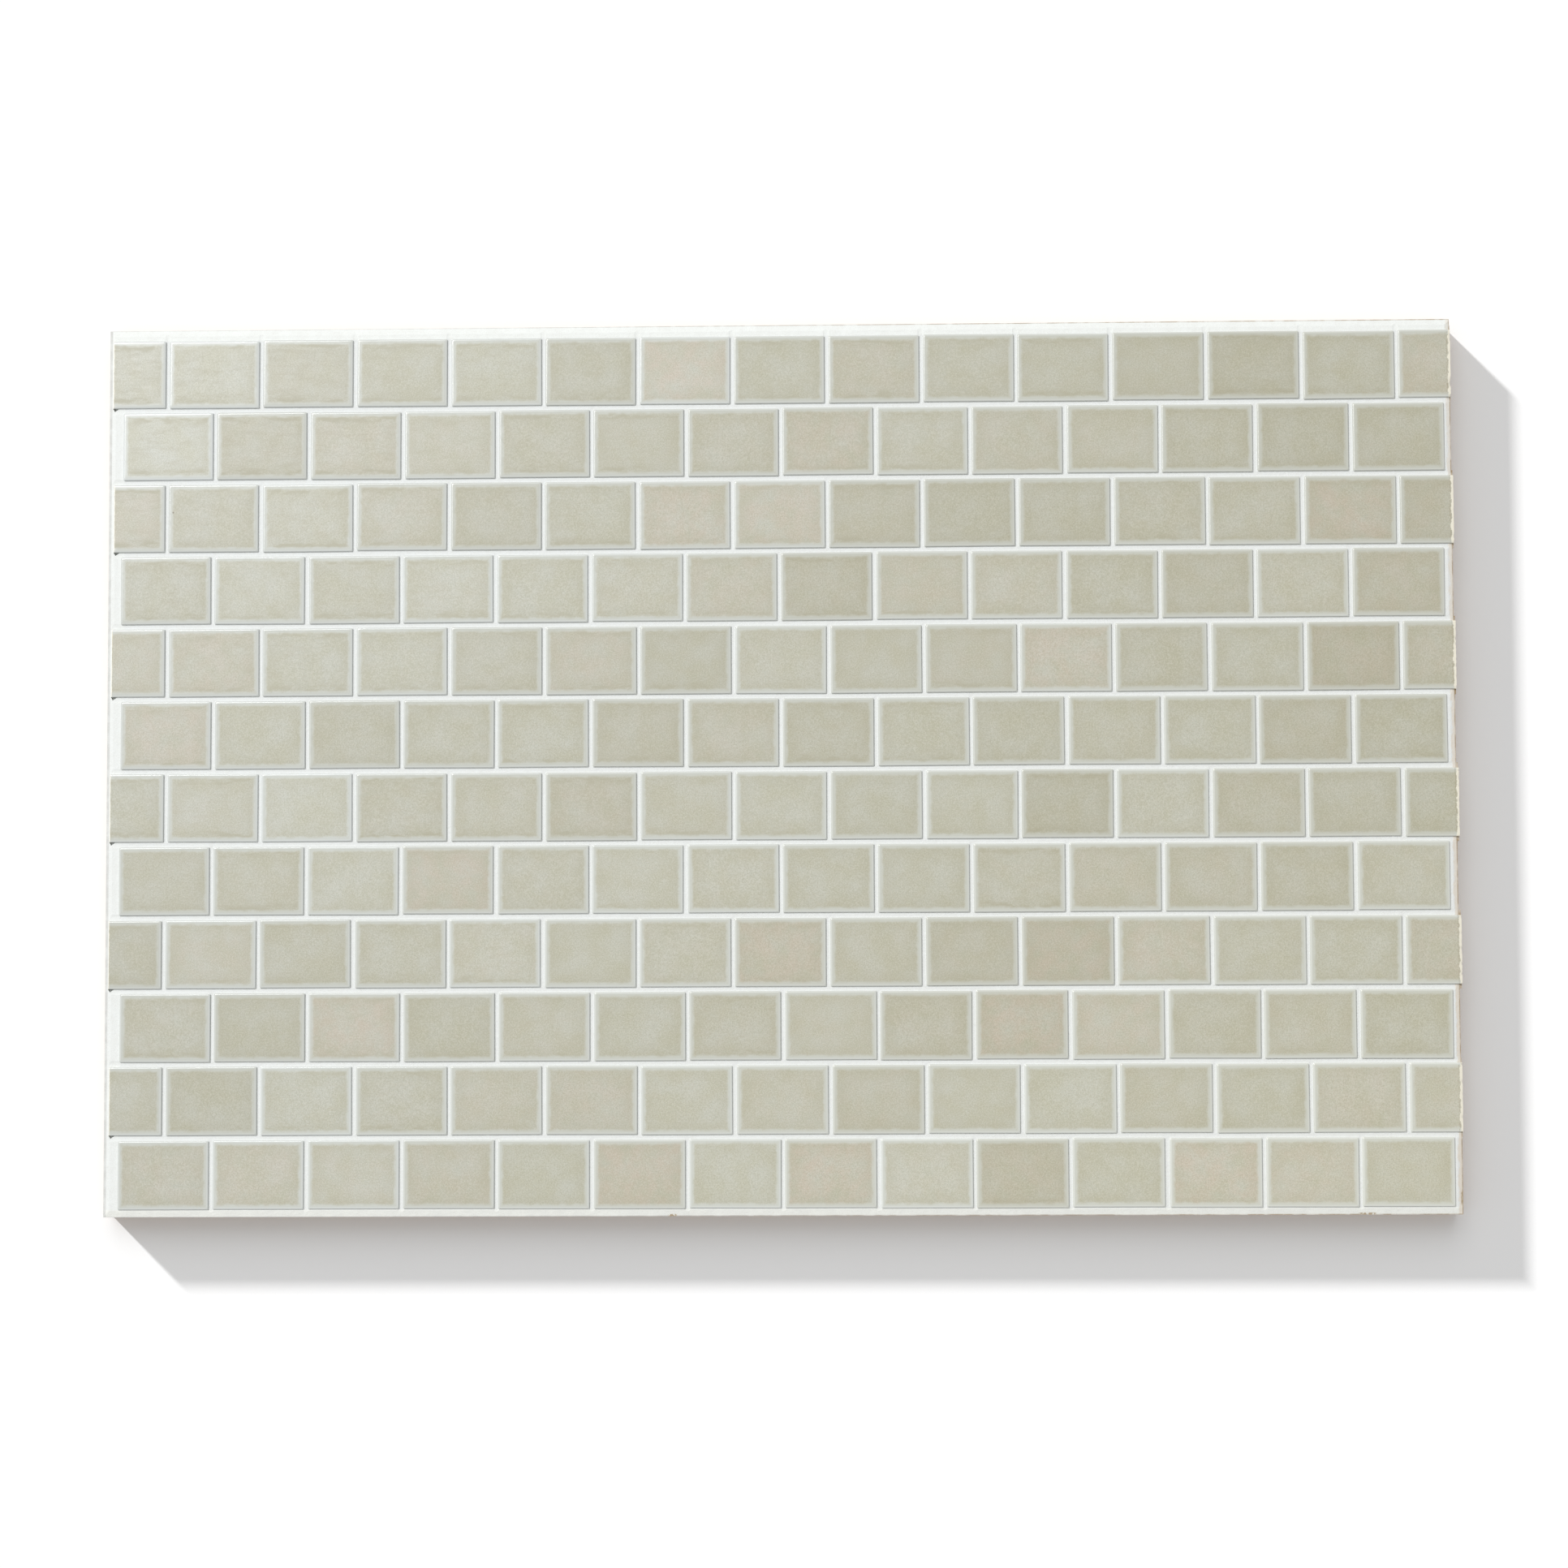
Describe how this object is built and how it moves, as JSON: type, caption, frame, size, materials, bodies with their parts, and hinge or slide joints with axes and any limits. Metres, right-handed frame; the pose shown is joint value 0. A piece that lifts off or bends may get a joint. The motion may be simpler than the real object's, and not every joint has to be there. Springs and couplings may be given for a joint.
{
  "type": "tile board",
  "caption": "Plywood panel faced with small satin-glazed wall tiles in running bond, with pale grout joints, cut tiles at the ends of every other course and grouted margins.",
  "frame": {"origin": "centre of the panel's footprint on its back face, with the board lying on its back", "axes": "+X along the courses, +Y across the courses towards the top one, +Z out of the glazed faces"},
  "size_m": [0.7556, 0.4988, 0.0222],
  "materials": {
    "plywood": "matte",
    "adhesive": "matte",
    "grout": "matte",
    "tile": "satin"
  },
  "bodies": {
    "root": {"plywood_panel": "plywood", "adhesive_bed": "adhesive", "grout": "grout", "tile_course_01": "tile", "tile_course_02": "tile", "tile_course_03": "tile", "tile_course_04": "tile", "tile_course_05": "tile", "tile_course_06": "tile", "tile_course_07": "tile", "tile_course_08": "tile", "tile_course_09": "tile", "tile_course_10": "tile", "tile_course_11": "tile", "tile_course_12": "tile"}
  },
  "joints": []
}
